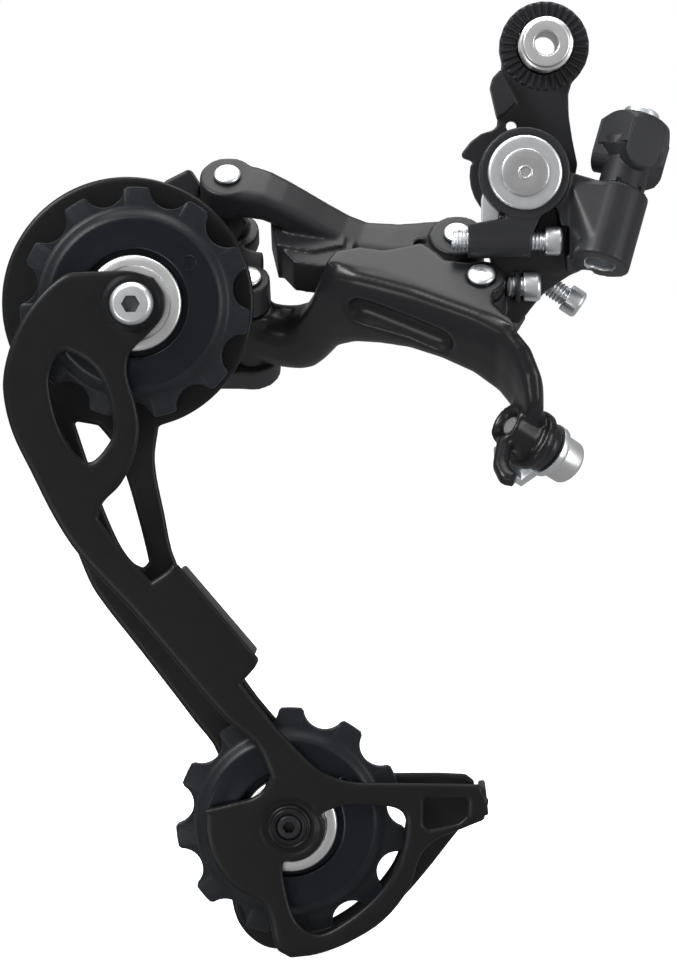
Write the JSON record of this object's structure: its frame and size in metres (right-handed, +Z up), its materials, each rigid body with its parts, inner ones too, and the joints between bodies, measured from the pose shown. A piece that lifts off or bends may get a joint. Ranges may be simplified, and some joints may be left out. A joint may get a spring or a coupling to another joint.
{
  "type": "rear bicycle derailleur",
  "caption": "Long-cage rear derailleur: hanger link, slanted parallelogram, sprung knuckle and a chain cage with toothed guide and tension pulleys.",
  "frame": {"origin": "on the mounting bolt's axis, in the face of the hanger link that is drawn against the frame's hanger", "axes": "+X towards the bicycle's rear, +Y away from the wheel (outboard), +Z up; the mounting bolt, cage and pulleys turn about Y"},
  "size_m": [0.1268, 0.0508, 0.1807],
  "materials": {
    "black_forged": "satin black coating on forged aluminium",
    "black_gloss": "semi-gloss black coating on forged aluminium",
    "black_plate": "satin black coating on pressed steel",
    "black_plastic": "moulded black plastic, fine texture",
    "pulley_plastic": "moulded black pulley plastic, polished face with a grained rim",
    "zinc_steel": "bright zinc plating",
    "black_bolt": "black oxide",
    "bright_steel": "turned and brushed steel",
    "spring_steel": "drawn wire",
    "bearing_bronze": "sintered bronze"
  },
  "bodies": {
    "hanger": {"hanger_link": "black_forged", "pivot_axle": "bright_steel", "pivot_washer": "zinc_steel", "stopper_plate": "zinc_steel"},
    "mounting_bolt": {"mounting_bolt": "bright_steel"},
    "bracket": {"bracket_body": "black_forged", "pivot_bushing": "bearing_bronze", "adjuster_stud": "zinc_steel", "return_spring": "spring_steel", "bracket_inner_pin": "zinc_steel", "bracket_outer_pin": "zinc_steel"},
    "limit_screw_high": {"limit_screw_high": "zinc_steel"},
    "limit_screw_low": {"limit_screw_low": "zinc_steel"},
    "b_tension_screw": {"b_tension_screw": "zinc_steel"},
    "adjuster": {"adjuster_knob": "black_plastic", "adjuster_ferrule": "zinc_steel"},
    "inner_link": {"inner_link": "black_gloss", "cable_clamp_plate": "zinc_steel", "cable_clamp_spacer": "black_forged"},
    "clamp_bolt": {"cable_clamp_bolt": "bright_steel"},
    "outer_link": {"outer_link": "black_forged"},
    "knuckle": {"cage_knuckle": "black_forged", "knuckle_cap": "black_plastic", "cage_spring": "spring_steel", "knuckle_inner_pin": "zinc_steel", "knuckle_outer_pin": "zinc_steel"},
    "cage": {"inner_cage_plate": "black_plate", "outer_cage_plate": "black_plate", "cage_axle": "zinc_steel", "cage_stop_pin": "zinc_steel", "guide_bushing": "bearing_bronze", "tension_bushing": "bearing_bronze", "guide_pulley_bolt": "zinc_steel", "tension_pulley_bolt": "black_bolt", "guide_cap_inner": "bright_steel", "guide_cap_outer": "bright_steel", "tension_cap_inner": "bright_steel", "tension_cap_outer": "bright_steel"},
    "guide_pulley": {"guide_pulley": "pulley_plastic"},
    "tension_pulley": {"tension_pulley": "pulley_plastic"}
  },
  "joints": [
    {"name": "mounting_bolt_turn", "type": "hinge", "parent": "hanger", "child": "mounting_bolt", "pos_m": [0, 0, 0], "axis": [0, 1, 0], "continuous": true},
    {"name": "bracket_pivot", "type": "hinge", "parent": "hanger", "child": "bracket", "pos_m": [-0.004, -0.007, -0.0241], "axis": [0, -1, 0], "range_deg": [0, 25]},
    {"name": "limit_high_turn", "type": "hinge", "parent": "bracket", "child": "limit_screw_high", "pos_m": [-0.0175, -0.009, -0.0367], "axis": [1, 0, 0], "range_deg": [-360, 360]},
    {"name": "limit_low_turn", "type": "hinge", "parent": "bracket", "child": "limit_screw_low", "pos_m": [-0.007, -0.0075, -0.0453], "axis": [1, 0, 0], "range_deg": [-360, 360]},
    {"name": "b_tension_turn", "type": "hinge", "parent": "bracket", "child": "b_tension_screw", "pos_m": [-0.0062, -0.0011, -0.0404], "axis": [0.8386, 0, -0.5447], "range_deg": [-360, 360]},
    {"name": "adjuster_turn", "type": "hinge", "parent": "bracket", "child": "adjuster", "pos_m": [0.0142, -0.0068, -0.0268], "axis": [0.2681, 0.3581, 0.8943], "range_deg": [-720, 720]},
    {"name": "link_swing", "type": "hinge", "parent": "bracket", "child": "inner_link", "pos_m": [-0.012, -0.01234, -0.0425], "axis": [0, -0.6947, 0.7193], "range_deg": [0, 55], "stiffness_Nm_per_rad": 0.12, "springref_deg": -91.67},
    {"name": "outer_link_swing", "type": "hinge", "parent": "bracket", "child": "outer_link", "pos_m": [-0.0163, 0.00032, -0.03027], "axis": [0, -0.6947, 0.7193], "range_deg": [0, 55]},
    {"name": "knuckle_level", "type": "hinge", "parent": "inner_link", "child": "knuckle", "pos_m": [-0.0563, -0.00515, -0.03555], "axis": [0, -0.6947, 0.7193], "range_deg": [-55, 0]},
    {"name": "clamp_bolt_turn", "type": "hinge", "parent": "inner_link", "child": "clamp_bolt", "pos_m": [-0.0076, -0.01601, -0.07023], "axis": [0.7331, 0.4724, -0.4892], "range_deg": [-360, 360]},
    {"name": "cage_pivot", "type": "hinge", "parent": "knuckle", "child": "cage", "pos_m": [-0.0745, 0.005, -0.0412], "axis": [0, 1, 0], "range_deg": [0, 100], "stiffness_Nm_per_rad": 0.06, "springref_deg": -68.75},
    {"name": "guide_pulley_spin", "type": "hinge", "parent": "cage", "child": "guide_pulley", "pos_m": [-0.0768, -0.01, -0.0483], "axis": [0, 1, 0], "continuous": true},
    {"name": "tension_pulley_spin", "type": "hinge", "parent": "cage", "child": "tension_pulley", "pos_m": [-0.0478, -0.01, -0.1464], "axis": [0, 1, 0], "continuous": true}
  ],
  "couplings": [
    {"joint": "outer_link_swing", "follows": "link_swing", "ratio": 1},
    {"joint": "knuckle_level", "follows": "link_swing", "ratio": -1}
  ]
}
